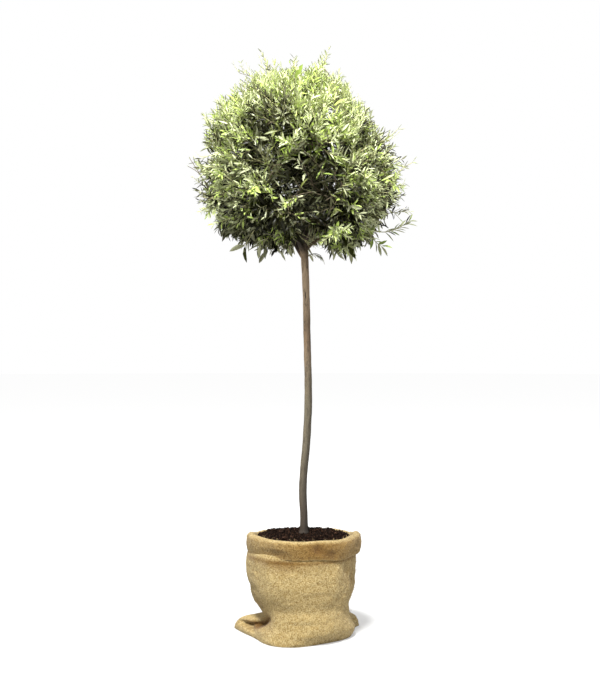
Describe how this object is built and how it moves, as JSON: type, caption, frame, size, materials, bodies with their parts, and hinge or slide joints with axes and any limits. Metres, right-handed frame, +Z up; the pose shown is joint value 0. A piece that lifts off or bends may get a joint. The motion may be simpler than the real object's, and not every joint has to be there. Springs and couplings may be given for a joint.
{
  "type": "potted olive tree",
  "caption": "Standard olive tree: a clear slim trunk with a round leafy head, in a nursery pot stood in a folded burlap sack.",
  "frame": {"origin": "centre of the sack's flat underside, on the ground", "axes": "+Z up the trunk, -Y towards the front, +X to the right from the front"},
  "size_m": [0.5713, 0.5273, 1.4599],
  "materials": {
    "burlap": "coarse open weave, golden tan",
    "pot_plastic": "plain black",
    "compost": "crumbly, damp, near black",
    "bark": "thin grey-brown young bark",
    "leaves": "slightly glossy above and silvery below, fresh yellow-green at the tips"
  },
  "bodies": {
    "root": {"sack": "burlap", "pot": "pot_plastic", "soil": "compost", "trunk": "bark", "bough_lower_1": "bark", "bough_lower_2": "bark", "bough_lower_3": "bark", "bough_lower_4": "bark", "bough_lower_5": "bark", "bough_upper_1": "bark", "bough_upper_2": "bark", "bough_upper_3": "bark", "bough_upper_4": "bark", "bough_top_1": "bark", "foliage_lower_1": "leaves", "foliage_lower_2": "leaves", "foliage_lower_3": "leaves", "foliage_lower_4": "leaves", "foliage_lower_5": "leaves", "foliage_upper_1": "leaves", "foliage_upper_2": "leaves", "foliage_upper_3": "leaves", "foliage_upper_4": "leaves", "foliage_top_1": "leaves", "side_shoot": "leaves"}
  },
  "joints": []
}
